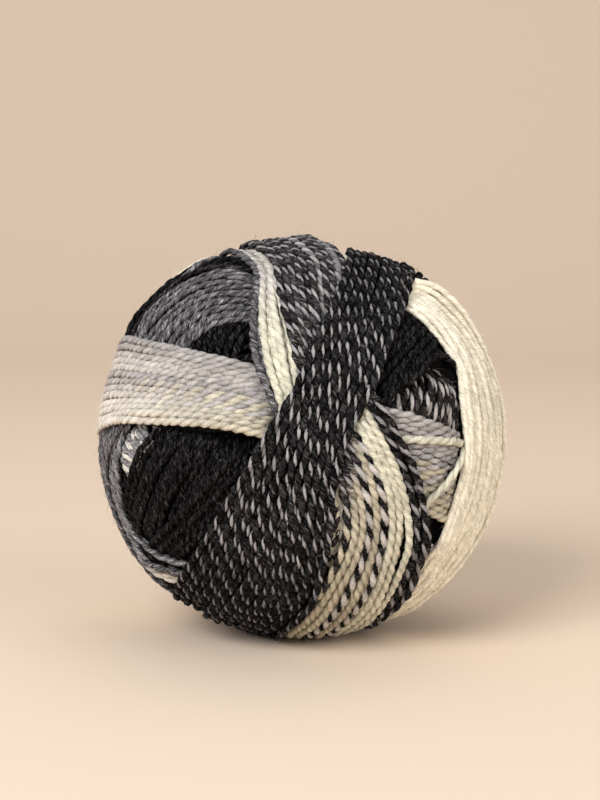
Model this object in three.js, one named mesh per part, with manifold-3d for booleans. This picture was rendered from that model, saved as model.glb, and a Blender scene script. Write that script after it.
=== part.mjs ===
/**
 * A ball of two-ply yarn, about 96 mm across, wound by hand-turned wraps over a round core.
 *
 * One closed solid: the core, with each wrap of parallel turns raised over it as a rounded band, and the
 * bundles of turns in a wrap as soft ridges along it. Millimetres, +Z up. The origin is the middle of the
 * small flat spot that the ball rests on, and the side with the crossing wraps faces -Y.
 */
import * as THREE from 'three';
import { mergeVertices } from 'three/addons/utils/BufferGeometryUtils.js';
import Module from 'manifold-3d';

// Driving dimensions, in millimetres.
const CORE_RADIUS = 46;
const FLAT_SPOT_RADIUS = 14;
const WRAP_EDGE_ROUND = 5;
const CREASE_ROUND = 0.35;
const BUNDLE_WIDTH = 9;
const BUNDLE_RELIEF = 0.4;
const SURFACE_DETAIL = 20;

const YARN_COLOUR = '#5f5b59';
const YARN_ROUGHNESS = 0.9;

const DEGREE = Math.PI / 180;
const FULL_TURN = 360;

/**
 * The wraps, from the deepest to the last one wound.
 *
 * A wrap circles its pole, which is given by longitude (0 faces -Y, positive towards +X) and latitude.
 * rise is how far its top stands over the core, in millimetres. Each station along the wrap gives the
 * angle round the pole, from the point nearest the front, then how far the middle of the wrap lies
 * towards the pole there, and how wide it is, all in degrees.
 */
const WRAPS = [
  {
    name: 'under marl', poleLon: -60, poleLat: 30, rise: 0.5,
    stations: [{ angle: 0, middle: 0, width: 40 }],
  },
  {
    name: 'cream marl', poleLon: 41, poleLat: 42, rise: 0.8,
    stations: [{ angle: 0, middle: 0, width: 24 }],
  },
  {
    name: 'steep marl', poleLon: -60, poleLat: 25, rise: 1.0,
    stations: [
      { angle: -90, middle: 0, width: 20 },
      { angle: 0, middle: 0, width: 24 },
      { angle: 50, middle: -2, width: 18 },
      { angle: 180, middle: 0, width: 24 },
    ],
  },
  {
    name: 'outline black', poleLon: -5, poleLat: -25, rise: 1.2,
    stations: [{ angle: 0, middle: -6, width: 16 }],
  },
  {
    name: 'black fan', poleLon: 42, poleLat: -39, rise: 1.2,
    stations: [
      { angle: -110, middle: 8, width: 18 },
      { angle: -40, middle: 16, width: 28 },
      { angle: 0, middle: 18, width: 32 },
      { angle: 30, middle: 17, width: 36 },
      { angle: 60, middle: 17, width: 36 },
      { angle: 150, middle: 5, width: 18 },
    ],
  },
  {
    name: 'black cross', poleLon: 85, poleLat: -45, rise: 1.4,
    stations: [
      { angle: 0, middle: 0, width: 20 },
      { angle: 180, middle: 0, width: 12 },
    ],
  },
  {
    name: 'grey edge', poleLon: 20, poleLat: 18, rise: 1.6,
    stations: [
      { angle: -120, middle: 2, width: 18 },
      { angle: -60, middle: 5, width: 16 },
      { angle: -18, middle: -6, width: 16 },
      { angle: 0, middle: 7, width: 12 },
      { angle: 60, middle: 16, width: 16 },
      { angle: 150, middle: 4, width: 20 },
    ],
  },
  {
    name: 'charcoal fan', poleLon: 12, poleLat: -6, rise: 1.6,
    stations: [
      { angle: -130, middle: 12, width: 24 },
      { angle: -60, middle: 28, width: 18 },
      { angle: -35, middle: 20, width: 31 },
      { angle: -10, middle: 14, width: 34 },
      { angle: 15, middle: 13, width: 30 },
      { angle: 70, middle: 8, width: 26 },
      { angle: 160, middle: 4, width: 26 },
    ],
  },
  {
    name: 'grey belt', poleLon: -49, poleLat: -69, rise: 1.9,
    stations: [
      { angle: -90, middle: 2, width: 26 },
      { angle: -45, middle: 3, width: 23 },
      { angle: 0, middle: 0, width: 18 },
      { angle: 40, middle: 1, width: 21 },
      { angle: 85, middle: 2, width: 28 },
      { angle: 180, middle: 0, width: 22 },
    ],
  },
  {
    name: 'ivory', poleLon: 154, poleLat: -3, rise: 2.0,
    stations: [
      { angle: -120, middle: -2, width: 18 },
      { angle: -60, middle: -9, width: 10 },
      { angle: -38, middle: 3, width: 27 },
      { angle: -20, middle: 4, width: 33 },
      { angle: 20, middle: 1, width: 33 },
      { angle: 38, middle: -1, width: 22 },
      { angle: 60, middle: 0, width: 16 },
      { angle: 180, middle: 2, width: 30 },
    ],
  },
  {
    name: 'cream', poleLon: 104, poleLat: 18, rise: 2.3,
    stations: [
      { angle: -140, middle: 2, width: 8 },
      { angle: -70, middle: -2, width: 9 },
      { angle: -45, middle: -6, width: 9 },
      { angle: -29, middle: -10, width: 12 },
      { angle: -12, middle: -12, width: 5 },
      { angle: 60, middle: -18, width: 8 },
      { angle: 150, middle: -6, width: 8 },
    ],
  },
  {
    name: 'light marl', poleLon: 104, poleLat: 18, rise: 2.5,
    stations: [
      { angle: -130, middle: 8, width: 20 },
      { angle: -60, middle: 12, width: 23 },
      { angle: -24, middle: 3, width: 17 },
      { angle: 10, middle: 6, width: 21 },
      { angle: 40, middle: -2, width: 32 },
      { angle: 75, middle: -13, width: 30 },
      { angle: 120, middle: -8, width: 24 },
      { angle: 180, middle: 0, width: 20 },
    ],
  },
  {
    name: 'dark marl', poleLon: -91, poleLat: 28, rise: 3.3,
    stations: [
      { angle: -110, middle: -4, width: 28 },
      { angle: -60, middle: -4, width: 34 },
      { angle: -30, middle: -3, width: 31 },
      { angle: -8, middle: 0, width: 24 },
      { angle: 15, middle: 0, width: 20 },
      { angle: 85, middle: 2, width: 20 },
      { angle: 180, middle: 0, width: 22 },
    ],
  },
];

/** The unit vector that points at a longitude and latitude of the ball. */
function directionAt(lon, lat) {
  const across = Math.cos(lat * DEGREE);
  return new THREE.Vector3(
    across * Math.sin(lon * DEGREE),
    -across * Math.cos(lon * DEGREE),
    Math.sin(lat * DEGREE),
  );
}

/** The pole of a wrap, with the directions of its 0 and 90 degree stations. */
function wrapAxes(wrap) {
  const front = new THREE.Vector3(0, -1, 0);
  const pole = directionAt(wrap.poleLon, wrap.poleLat);
  const start = front.addScaledVector(pole, -front.dot(pole)).normalize();
  const quarter = new THREE.Vector3().crossVectors(pole, start);
  return { pole, start, quarter };
}

/** A smooth closed curve through one column of the stations, read at an angle. */
function alongStations(stations, column, angle) {
  const count = stations.length;
  if (count === 1) {
    return stations[0][column];
  }
  const station = (index) => {
    const round = Math.floor(index / count);
    const row = stations[index - round * count];
    return { angle: row.angle + round * FULL_TURN, value: row[column] };
  };
  const first = stations[0].angle;
  const wrapped = first + ((((angle - first) % FULL_TURN) + FULL_TURN) % FULL_TURN);
  let index = 0;
  while (station(index + 1).angle <= wrapped) {
    index += 1;
  }
  const [before, from, to, after] = [index - 1, index, index + 1, index + 2].map(station);
  const span = to.angle - from.angle;
  const slopeFrom = (to.value - before.value) / (to.angle - before.angle);
  const slopeTo = (after.value - from.value) / (after.angle - from.angle);
  const u = (wrapped - from.angle) / span;
  const rise = u * u * (3 - 2 * u);
  const bend = u * (1 - u) * ((1 - u) * slopeFrom - u * slopeTo) * span;
  return from.value + rise * (to.value - from.value) + bend;
}

/** How far a wrap stands over the core in a direction: 0 outside it, and its ridged crown inside. */
function wrapHeight(wrap, axes, direction) {
  const angle = Math.atan2(direction.dot(axes.quarter), direction.dot(axes.start)) / DEGREE;
  const latitude = Math.asin(THREE.MathUtils.clamp(direction.dot(axes.pole), -1, 1)) / DEGREE;
  const arc = CORE_RADIUS * DEGREE;
  const halfWidth = (alongStations(wrap.stations, 'width', angle) / 2) * arc;
  const sideways = (latitude - alongStations(wrap.stations, 'middle', angle)) * arc;
  const crown = THREE.MathUtils.smoothstep(halfWidth - Math.abs(sideways), 0, WRAP_EDGE_ROUND);
  const bundles = Math.max(1, Math.round((2 * halfWidth) / BUNDLE_WIDTH));
  const groove = Math.sin((Math.PI * bundles * (sideways + halfWidth)) / (2 * halfWidth)) ** 2;
  return crown * (wrap.rise - BUNDLE_RELIEF * (1 - groove));
}

/** The highest of several heights, with the creases where they meet rounded. */
function softHighest(heights) {
  const highest = Math.max(...heights);
  const closeness = heights.map((height) => Math.exp((height - highest) / CREASE_ROUND));
  return highest + CREASE_ROUND * Math.log(closeness.reduce((sum, value) => sum + value, 0));
}

/** The wound surface: a fine sphere whose points are pushed out to the highest wrap over them. */
function woundSurface() {
  const sphere = new THREE.IcosahedronGeometry(1, SURFACE_DETAIL);
  sphere.deleteAttribute('normal');
  sphere.deleteAttribute('uv');
  const surface = mergeVertices(sphere, 1e-5);
  const wraps = WRAPS.map((wrap) => ({ wrap, axes: wrapAxes(wrap) }));
  const points = surface.attributes.position;
  const direction = new THREE.Vector3();
  for (let i = 0; i < points.count; i += 1) {
    direction.fromBufferAttribute(points, i).normalize();
    const heights = wraps.map(({ wrap, axes }) => wrapHeight(wrap, axes, direction));
    direction.multiplyScalar(CORE_RADIUS + softHighest([0, ...heights]));
    points.setXYZ(i, direction.x, direction.y, direction.z);
  }
  return surface;
}

/** A closed geometry with merged points, as a solid that can be cut. */
function toSolid(wasm, geometry) {
  return new wasm.Manifold(new wasm.Mesh({
    numProp: 3,
    vertProperties: new Float32Array(geometry.attributes.position.array),
    triVerts: new Uint32Array(geometry.index.array),
  }));
}

/** A solid, back as a geometry with normals. */
function toGeometry(solid) {
  const mesh = solid.getMesh();
  const geometry = new THREE.BufferGeometry();
  geometry.setAttribute('position', new THREE.BufferAttribute(mesh.vertProperties, 3));
  geometry.setIndex(new THREE.BufferAttribute(mesh.triVerts, 1));
  geometry.computeVertexNormals();
  return geometry;
}

/** The block below the plane that the flat spot lies in, with its points merged. */
function floorBlock(planeHeight) {
  const size = 4 * CORE_RADIUS;
  const block = new THREE.BoxGeometry(size, size, size);
  block.deleteAttribute('normal');
  block.deleteAttribute('uv');
  block.translate(0, 0, planeHeight - size / 2);
  return mergeVertices(block);
}

/** The wound ball with its flat spot cut, standing on the origin. */
function yarnBallGeometry(wasm) {
  const restRadius = CORE_RADIUS + Math.min(...WRAPS.slice(-2).map((wrap) => wrap.rise));
  const planeHeight = -Math.sqrt(restRadius ** 2 - FLAT_SPOT_RADIUS ** 2);
  const ball = toSolid(wasm, woundSurface()).subtract(toSolid(wasm, floorBlock(planeHeight)));
  const geometry = toGeometry(ball);
  geometry.computeBoundingBox();
  const middle = geometry.boundingBox.getCenter(new THREE.Vector3());
  geometry.translate(-middle.x, -middle.y, -geometry.boundingBox.min.z);
  return geometry;
}

const wasm = await Module();
wasm.setup();

const yarnBall = new THREE.Mesh(
  yarnBallGeometry(wasm),
  new THREE.MeshStandardMaterial({ color: YARN_COLOUR, roughness: YARN_ROUGHNESS, metalness: 0 }),
);
yarnBall.name = 'yarn_ball';

const ballOfYarn = new THREE.Group();
ballOfYarn.add(yarnBall);

export default ballOfYarn;
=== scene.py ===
"""A hand-wound ball of two-ply wool yarn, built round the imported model.

The ball is wound here as a maker winds it. Each wrap is a band of nearly parallel turns round its own pole,
and every turn is laid on the turns already there and pulled taut over them. Only the stretches that can be
seen are then spun into yarn: two plies that twist round each other, with loose fibres standing off them.

The winding is worked out in millimetres from the middle of the ball, and the meshes are made in metres.
"""

import logging
import math
from dataclasses import dataclass, field
from enum import Enum

import bpy
import numpy as np
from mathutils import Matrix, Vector
from mathutils.kdtree import KDTree


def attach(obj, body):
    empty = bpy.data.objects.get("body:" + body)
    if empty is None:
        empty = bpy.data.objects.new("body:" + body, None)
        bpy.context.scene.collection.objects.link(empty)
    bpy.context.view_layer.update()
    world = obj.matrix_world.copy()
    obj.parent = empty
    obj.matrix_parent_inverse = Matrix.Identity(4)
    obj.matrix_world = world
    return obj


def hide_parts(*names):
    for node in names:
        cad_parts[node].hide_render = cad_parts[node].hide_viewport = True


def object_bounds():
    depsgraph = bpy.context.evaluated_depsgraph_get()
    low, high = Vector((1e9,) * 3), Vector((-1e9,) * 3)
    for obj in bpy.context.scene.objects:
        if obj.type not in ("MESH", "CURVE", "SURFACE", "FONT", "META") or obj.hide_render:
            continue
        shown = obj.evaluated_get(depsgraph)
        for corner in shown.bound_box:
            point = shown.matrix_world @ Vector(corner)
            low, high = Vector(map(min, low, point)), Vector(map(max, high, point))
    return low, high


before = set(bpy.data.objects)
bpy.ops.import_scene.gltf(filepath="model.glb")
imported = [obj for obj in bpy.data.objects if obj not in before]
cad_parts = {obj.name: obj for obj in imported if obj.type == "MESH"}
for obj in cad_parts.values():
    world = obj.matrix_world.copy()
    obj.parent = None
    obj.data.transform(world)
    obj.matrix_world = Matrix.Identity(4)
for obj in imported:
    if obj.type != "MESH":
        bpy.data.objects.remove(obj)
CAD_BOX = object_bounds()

MM = 0.001
BODY = "root"
CAD_NODE = "yarn_ball"
BAKE_MAP = "OFBake"
# The mesh attribute with each point's dye and the painted shade in it.
DYE_AND_SHADE = "dye"
FIBRE = "fibre"
# The colour sockets of a Mix node, whose names are shared by its other sockets.
MIX_FIRST, MIX_SECOND, MIX_RESULT = 6, 7, 2

# How far apart the fibre patterns of the plies and the turns lie, so that no two look alike.
PLY_SHIFT, TURN_SHIFT = 50, 7

Array = np.ndarray
Tree = bpy.types.NodeTree
Socket = bpy.types.NodeSocket

log = logging.getLogger("yarn_ball")


# ---------------- vectors


def unit(vectors: Array) -> Array:
    """The vectors, each scaled to length 1."""
    return vectors / np.linalg.norm(vectors, axis=-1, keepdims=True)


def dot(one: Array, other: Array) -> Array:
    """The dot products of two rows of vectors, kept as a last axis of 1."""
    return np.sum(one * other, axis=-1, keepdims=True)


def softened(values: Array) -> Array:
    """The values round a closed turn, each evened out with its two neighbours."""
    return values / 2 + (np.roll(values, 1) + np.roll(values, -1)) / 4


def between(values: Array, at: Array) -> Array:
    """Reads values round a closed turn at places between its steps.

    Args:
        values: A number or a vector for each step.
        at: The places, counted in steps from the first one.

    Returns:
        The value at each place.
    """
    low = np.floor(at).astype(int)
    part = (at - low).reshape(-1, *[1] * (values.ndim - 1))
    return values[low % len(values)] * (1 - part) + values[(low + 1) % len(values)] * part


def circles(around: Array, one: Array, other: Array) -> Array:
    """Points at the angles around on a unit circle at each step, from its two directions there."""
    return np.cos(around)[:, None] * one[:, None] + np.sin(around)[:, None] * other[:, None]


def direction_at(lon: float, lat: float) -> Array:
    """The unit vector to a longitude and latitude of the ball, with longitude 0 facing -Y."""
    lon, lat = math.radians(lon), math.radians(lat)
    return np.array([math.cos(lat) * math.sin(lon), -math.cos(lat) * math.cos(lon), math.sin(lat)])


# ---------------- colour


def linear(hex_colour: str) -> tuple[float, float, float, float]:
    """Turns an sRGB hex colour to linear numbers.

    Args:
        hex_colour: A colour such as "#dcd2bd".

    Returns:
        Red, green, blue and an alpha of 1.
    """
    channels = [int(hex_colour[i : i + 2], 16) / 255 for i in (1, 3, 5)]
    return (*(c / 12.92 if c <= 0.04045 else ((c + 0.055) / 1.055) ** 2.4 for c in channels), 1.0)


class Shade(Enum):
    """The shades that the plies are dyed."""

    BLACK = "#151415"
    INK = "#201f20"
    SOOT = "#2b2829"
    COAL = "#383536"
    CHARCOAL = "#69676a"
    SLATE = "#737174"
    ASH = "#8e8c8e"
    DOVE = "#9e9b9d"
    GREY = "#b3aeac"
    PEARL = "#c8c2bd"
    MIST = "#d5cfc8"
    STONE = "#c6bda8"
    CREAM = "#dcd8c4"
    MILK = "#e4ded5"
    IVORY = "#f5edda"

    @property
    def rgb(self) -> Array:
        """The shade's linear red, green and blue."""
        return np.array(linear(self.value)[:3])


@dataclass(frozen=True)
class Dye:
    """A run of neighbouring turns with the same two shades, one for each ply.

    slim is how thick the second ply is, as a share of a ply's usual thickness.
    """

    turns: int
    first: Shade
    second: Shade
    slim: float = 1.0

    @property
    def lightness(self) -> float:
        """How light the two plies are together, from 0 to 1."""
        return float(self.first.rgb.mean() + self.second.rgb.mean()) / 2


def plain(turns: int, shade: Shade) -> Dye:
    """Turns whose two plies have the same shade."""
    return Dye(turns, shade, shade)


def pick_dye(dyes: tuple[Dye, ...], across: float) -> Dye:
    """Finds the dye of a turn.

    Args:
        dyes: The dyes across the wrap.
        across: How far across the wrap the turn lies, from 0 to 1.

    Returns:
        The dye there.
    """
    left = across * sum(dye.turns for dye in dyes)
    for dye in dyes:
        if left < dye.turns:
            return dye
        left -= dye.turns
    return dyes[-1]


# ---------------- yarn


@dataclass(frozen=True)
class Yarn:
    """Two-ply wool yarn of sock weight. Lengths are millimetres, and the rest are shares.

    The plies lie ply_offset from the yarn's middle and go round it once in each twist_length. Where turns
    press on each other its radius counts as pressed_radius, less than its lofty plies show. It is flattened
    against the ball and widened sideways. A ply swells by uneven in waves as long as swells gives, and by
    lumps from place to place. The pattern of its fibres is drawn out along it, to drawn_out of its scale
    across.

    Painted shade darkens black wool to valley_shade of its colour where a ply presses on the other, and to
    side_shade down the yarn's sides, where side_reach says between which yarn radii out of its middle the
    painted shade falls. Lighter wool gets less painted shade, by the power dark_bias of its darkness. The
    dye strays by dye_stray in waves as long as fades gives, down to faintest, and in light wool only by the
    power light_fade of that. In the lightest wool light_loft is taken off ply_offset, and widened grows by
    light_spread times itself.
    """

    ply_radius: float = 0.54
    ply_offset: float = 0.31
    pressed_radius: float = 0.7
    twist_length: float = 5.4
    ring_step: float = 0.76
    ring_sides: int = 5
    tip_length: float = 0.3
    drawn_out: float = 0.16
    swells: tuple[float, ...] = (3.1, 7.7, 19.0)
    fades: tuple[float, ...] = (4.3, 9.0, 23.0)
    uneven: float = 0.06
    lumps: float = 0.07
    flattened: float = 0.14
    widened: float = 0.14
    # Painted shade: the share of a black ply's colour kept in its valleys and down the yarn's sides.
    valley_shade: float = 0.1
    side_shade: float = 0.14
    side_reach: tuple[float, float] = (-0.14, 0.56)
    dark_bias: float = 1.5
    light_loft: float = 0.3
    light_spread: float = 1.4
    dye_stray: float = 0.13
    faintest: float = 0.2
    light_fade: float = 0.3

    @property
    def radius(self) -> float:
        """The radius that the two plies sweep."""
        return self.ply_offset + self.ply_radius


def ripples(along: Array, lengths: tuple[float, ...], draws: np.random.Generator) -> Array:
    """The sum of waves of so many lengths at places along a ply, each from a random start."""
    starts = [draws.uniform(0, 2 * math.pi) for _ in lengths]
    return sum(np.sin(along * (2 * math.pi / length) + start) for length, start in zip(lengths, starts))


# ---------------- wraps


@dataclass(frozen=True)
class Station:
    """Where a wrap lies at one angle round its pole, in degrees.

    middle is how far the middle of the wrap lies towards the pole, and width is the wrap's width. buried is
    how many millimetres deeper than usual it lies in the others there.
    """

    angle: float
    middle: float
    width: float
    buried: float = 0.0


def course(*rows: tuple[float, ...]) -> tuple[Station, ...]:
    """The stations of a wrap, from rows of angle, middle, width and, where it isn't 0, buried."""
    return tuple(Station(*row) for row in rows)


@dataclass(frozen=True)
class Wrap:
    """A band of turns wound round one pole.

    dyes goes across the wrap, from the side away from the pole to the side nearest it. Between the angles
    that changed gives, the yarn has its later_dyes instead, as yarn that is dyed in long stretches does,
    except on dark_marl, whose darker later dyes are painted shade. The change takes blend degrees, and it
    starts up to slant degrees later in the turns away from the pole.
    spacing is how far apart the turns lie side by side, and drift how far the wrap wavers, in millimetres.
    twisted is how far the plies stand apart, as a share of the yarn's own measure.
    """

    name: str
    pole_lon: float
    pole_lat: float
    stations: tuple[Station, ...]
    dyes: tuple[Dye, ...]
    later_dyes: tuple[Dye, ...] = ()
    changed: tuple[float, float] = (0.0, 0.0)
    blend: float = 5.0
    slant: float = 0.0
    spacing: float = 1.6
    drift: float = 0.3
    twisted: float = 1.0

    @property
    def turns(self) -> int:
        """How many turns the wrap has."""
        return sum(dye.turns for dye in self.dyes)

    def dyes_of(self, turn: int) -> tuple[Dye, Dye]:
        """The dye and the later dye of a turn."""
        across = (turn + 0.5) / self.turns
        return pick_dye(self.dyes, across), pick_dye(self.later_dyes or self.dyes, across)

    def lateness(self, angles: Array, turn: int) -> Array:
        """Follows the change of colour along a turn.

        Args:
            angles: Angles round the pole, in degrees.
            turn: The turn's place across the wrap.

        Returns:
            How far its yarn has changed to the later dyes at each angle, from 0 to 1.
        """
        start, end = self.changed
        start += self.slant * (1 - (turn + 0.5) / self.turns)
        into = (angles - start) % 360
        left = (end - start) % 360 - into
        return np.clip(np.minimum(into, left) / self.blend, 0, 1)

    def axes(self) -> tuple[Array, Array, Array]:
        """Works out how the wrap stands.

        Returns:
            The directions of the pole and of the angles 0 and 90 round it.
        """
        pole = direction_at(self.pole_lon, self.pole_lat)
        front = np.array([0.0, -1.0, 0.0])
        start = unit(front - pole * (front @ pole))
        return pole, start, np.cross(pole, start)

    def lie(self, angles: Array) -> Array:
        """A smooth closed curve through the stations.

        Args:
            angles: Angles round the pole, in degrees.

        Returns:
            The middle and the width of the wrap at each angle, in degrees, and how deep it is buried there.
        """
        rows = sorted(self.stations, key=lambda station: station.angle)
        at = np.array([row.angle + turn for turn in (-360, 0, 360) for row in rows])
        values = np.array([(row.middle, row.width, row.buried) for row in rows] * 3)
        slopes = np.gradient(values, axis=0) / np.gradient(at)[:, None]
        wrapped = (angles - rows[0].angle) % 360 + rows[0].angle
        i = np.searchsorted(at, wrapped, side="right") - 1
        span = (at[i + 1] - at[i])[:, None]
        u = (wrapped - at[i])[:, None] / span
        ease = u * u * (3 - 2 * u)
        bend = u * (1 - u) * ((1 - u) * slopes[i] - u * slopes[i + 1]) * span
        middle, width, buried = (values[i] + ease * (values[i + 1] - values[i]) + bend).T
        return np.stack([middle, width, np.maximum(buried, 0)])


WRAPS: tuple[Wrap, ...] = (
    Wrap("first_round", 0, 88, course((0, 0, 100)), (plain(36, Shade.BLACK),)),
    Wrap("second_round", 30, 10, course((0, 0, 80)), (plain(32, Shade.BLACK),)),
    Wrap("under_marl", -60, 30, course((0, 0, 40)), (Dye(20, Shade.BLACK, Shade.CHARCOAL),)),
    Wrap("cream_marl", 40, 49, course((0, 3, 25)), (Dye(16, Shade.ASH, Shade.MILK, 0.85),), spacing=1.3),
    Wrap(
        "steep_marl", -60, 25,
        course((-90, 0, 20), (0, 0, 26), (40, -3, 26), (70, -2, 22), (180, 0, 24)),
        (Dye(14, Shade.SOOT, Shade.GREY, 0.8),),
    ),
    Wrap("outline_black", -5, -25, course((0, -6, 18)), (plain(10, Shade.BLACK),)),
    Wrap(
        "black_fan", 42, -39,
        course(
            (-110, 8, 30), (-68, 13, 28.5), (-57, 12.2, 24.5), (-46, 15.3, 28), (-40, 16, 28),
            (0, 18, 32), (30, 17, 36), (60, 17, 36), (150, 5, 32),
        ),
        (plain(20, Shade.BLACK),),
        spacing=1.4,
    ),
    Wrap(
        "black_cross", 85, -45,
        course((-110, 0, 19), (-47, -1.5, 17), (0, 0, 22), (180, 0, 16)),
        (plain(13, Shade.BLACK),),
    ),
    Wrap(
        "grey_edge", 20, 18,
        course(
            (-120, 2, 22), (-60, 3, 22), (-40, 1, 23), (-28, -3, 17), (-18, -7, 16),
            (-8, -4, 17), (0, 5, 16), (10, 12, 14), (60, 16, 16), (150, 4, 20),
        ),
        (Dye(11, Shade.SLATE, Shade.ASH),),
        later_dyes=(
            plain(5, Shade.MILK),
            Dye(4, Shade.SLATE, Shade.CHARCOAL),
            Dye(2, Shade.SLATE, Shade.ASH),
        ),
        changed=(-6, 60),
    ),
    Wrap(
        "charcoal_fan", 12, -6,
        course(
            (-130, 12, 24), (-80, 24, 18), (-60, 28, 20), (-43, 26, 24), (-35, 20, 31), (-25, 14, 35),
            (-10, 12, 34), (15, 7, 28), (32, -2, 22), (70, -3, 20), (110, 0, 22), (160, 4, 26),
        ),
        (plain(3, Shade.SOOT), plain(16, Shade.CHARCOAL)),
        later_dyes=(plain(2, Shade.SOOT), Dye(17, Shade.CHARCOAL, Shade.SLATE)),
        changed=(20, 140),
    ),
    Wrap(
        "black_rope", 0, 8,
        course(
            (-175, -4, 5.5), (-163, 4.5, 6), (-145, 5.5, 6.5), (-128, 5, 6.5), (-105, 2, 5.5),
            (-88, 0, 5.5, 2.5), (-50, -1, 5.5, 2.5), (-30, -8, 6, 2.5),
            (60, -10, 6), (140, -12, 6), (175, -8, 6),
        ),
        (plain(3, Shade.BLACK),),
        drift=0.1,
    ),
    Wrap(
        "grey_belt", -49, -69,
        course(
            (-90, 2, 26), (-45, 3, 25), (-20, 1, 20), (0, 0, 18), (20, -0.5, 18),
            (40, 0.5, 21), (60, 1.5, 24), (85, 1.5, 28), (180, 0, 22),
        ),
        (
            plain(1, Shade.GREY),
            Dye(1, Shade.GREY, Shade.PEARL),
            Dye(1, Shade.PEARL, Shade.MIST),
            plain(2, Shade.MIST),
            Dye(2, Shade.PEARL, Shade.GREY),
            Dye(1, Shade.MIST, Shade.PEARL),
            Dye(1, Shade.MILK, Shade.MIST),
            plain(4, Shade.MILK),
        ),
        later_dyes=(
            plain(4, Shade.GREY),
            Dye(2, Shade.DOVE, Shade.GREY),
            Dye(4, Shade.STONE, Shade.GREY),
            plain(3, Shade.STONE),
        ),
        changed=(-110, 72),
        blend=60,
        spacing=1.16,
    ),
    Wrap(
        "cream_strand", -49, -69,
        course(
            (-90, -8, 1), (-60, -8, 1), (-45, -6.3, 1), (-35, -4.1, 1), (-25, -1.4, 1), (-10, 1, 1),
            (4, 1, 1, 1.5), (20, 0, 1, 3), (60, 1, 1, 3), (180, 0, 1, 2),
        ),
        (plain(1, Shade.MILK),),
        later_dyes=(plain(1, Shade.CREAM),),
        changed=(-80, -15),
        drift=0.1,
    ),
    Wrap(
        "stray_strand", 154, -3,
        course(
            (-60, -8, 1), (-12, -8, 1), (-5, -15, 1), (2, -21.5, 1), (9, -26, 1),
            (16, -27, 1), (26, -22, 1), (37, -8, 1), (60, 0, 1), (180, 2, 1),
        ),
        (plain(1, Shade.CREAM),),
        drift=0.1,
    ),
    Wrap(
        "ivory", 154, -3,
        course(
            (-120, 1.5, 25), (-80, -5.5, 15), (-60, -9, 10), (-53, -5, 18), (-38, 3, 27), (-20, 4, 33),
            (0, 3, 33), (20, 1, 33), (38, -1, 22), (60, 0, 20), (100, 2, 26), (180, 2, 31),
        ),
        (plain(23, Shade.IVORY),),
        later_dyes=(plain(22, Shade.IVORY), Dye(1, Shade.BLACK, Shade.ASH)),
        changed=(-40, 10),
        spacing=1.1,
        twisted=0.45,
    ),
    Wrap(
        "cream", 104, 18,
        course(
            (-140, 2, 8), (-90, 0.5, 9), (-76, 1, 7.2), (-66, 1.4, 6.2), (-60, 0.6, 6.4), (-53, -2, 7),
            (-46, -4.6, 8.7), (-39, -6.7, 10.9), (-33, -8.2, 11.3), (-27, -9.4, 9.9), (-20, -10.2, 8.5),
            (-12, -12, 5), (10, -8.5, 6, 1.2), (60, -16, 8, 2), (150, -6, 8),
        ),
        (plain(1, Shade.CHARCOAL), plain(1, Shade.SLATE), plain(6, Shade.CREAM)),
        later_dyes=(plain(1, Shade.CHARCOAL), plain(2, Shade.PEARL), plain(5, Shade.MIST)),
        changed=(-150, -38),
        blend=20,
        spacing=0.75,
        twisted=0.8,
        drift=0.1,
    ),
    Wrap(
        "light_marl", 104, 18,
        course(
            (-130, 8, 20), (-90, 12.5, 24), (-68, 14, 21.5), (-60, 13.7, 21.4), (-51, 11.2, 21.2),
            (-42, 8.2, 19.4), (-33, 5.6, 17.4), (-24, 3.2, 16.2), (-8, 4, 17), (10, 5.5, 21),
            (22, 4.5, 24), (31, 2, 28), (41, -2, 32), (58, -8.5, 34), (75, -13, 30), (120, -8, 24),
            (180, 0, 20),
        ),
        (
            Dye(12, Shade.COAL, Shade.DOVE, 0.72),
            Dye(1, Shade.SLATE, Shade.GREY),
            Dye(5, Shade.COAL, Shade.DOVE, 0.72),
            Dye(2, Shade.SLATE, Shade.ASH),
            Dye(2, Shade.COAL, Shade.DOVE, 0.72),
        ),
        later_dyes=(
            Dye(2, Shade.INK, Shade.STONE),
            plain(4, Shade.STONE),
            Dye(1, Shade.BLACK, Shade.PEARL, 1.1),
            plain(3, Shade.STONE),
            Dye(1, Shade.BLACK, Shade.PEARL, 1.1),
            plain(4, Shade.CREAM),
            Dye(1, Shade.BLACK, Shade.CREAM),
            plain(2, Shade.CREAM),
            Dye(4, Shade.INK, Shade.DOVE, 0.8),
        ),
        changed=(-36, 150),
        blend=9,
        slant=50,
        spacing=1.2,
    ),
    # dark_marl's later dyes, darker in both plies, run from its top round the back to its bottom: painted
    # shade where less light falls, so only the lit front keeps the paler flecks.
    Wrap(
        "dark_marl", -91, 28,
        course(
            (-110, -4, 28), (-60, -4.5, 34), (-40, -5.4, 36), (-30, -4.9, 34.5), (-17, -3.4, 31),
            (-8, -2.1, 27), (3, -0.2, 22), (15, 0.7, 19.2), (55, 2.5, 19.5), (85, 4, 20),
            (130, 2, 20), (180, 0, 22),
        ),
        (Dye(19, Shade.INK, Shade.DOVE, 0.66),),
        later_dyes=(Dye(19, Shade.BLACK, Shade.SLATE, 0.66),),
        changed=(42, -28),
    ),
)


# ---------------- winding


@dataclass(frozen=True)
class Hollow:
    """A dip in the ball that runs from front to back. Angles are degrees, and depth is millimetres.

    width and length are how far from its middle it fades, across and along.
    """

    lon: float
    lat: float
    width: float
    length: float
    depth: float

    def depth_at(self, directions: Array) -> Array:
        """Works out how deep the hollow is.

        Args:
            directions: Directions from the middle of the ball.

        Returns:
            The depth in each direction, in millimetres.
        """
        middle = direction_at(self.lon, self.lat)
        back = np.array([0.0, 1.0, 0.0])
        along = unit(back - middle * (back @ middle))
        far_along = directions @ along / math.sin(math.radians(self.length))
        far_across = directions @ np.cross(middle, along) / math.sin(math.radians(self.width))
        return self.depth * np.exp(-(far_along**4) - far_across**2) * (directions @ middle > 0)


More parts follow.
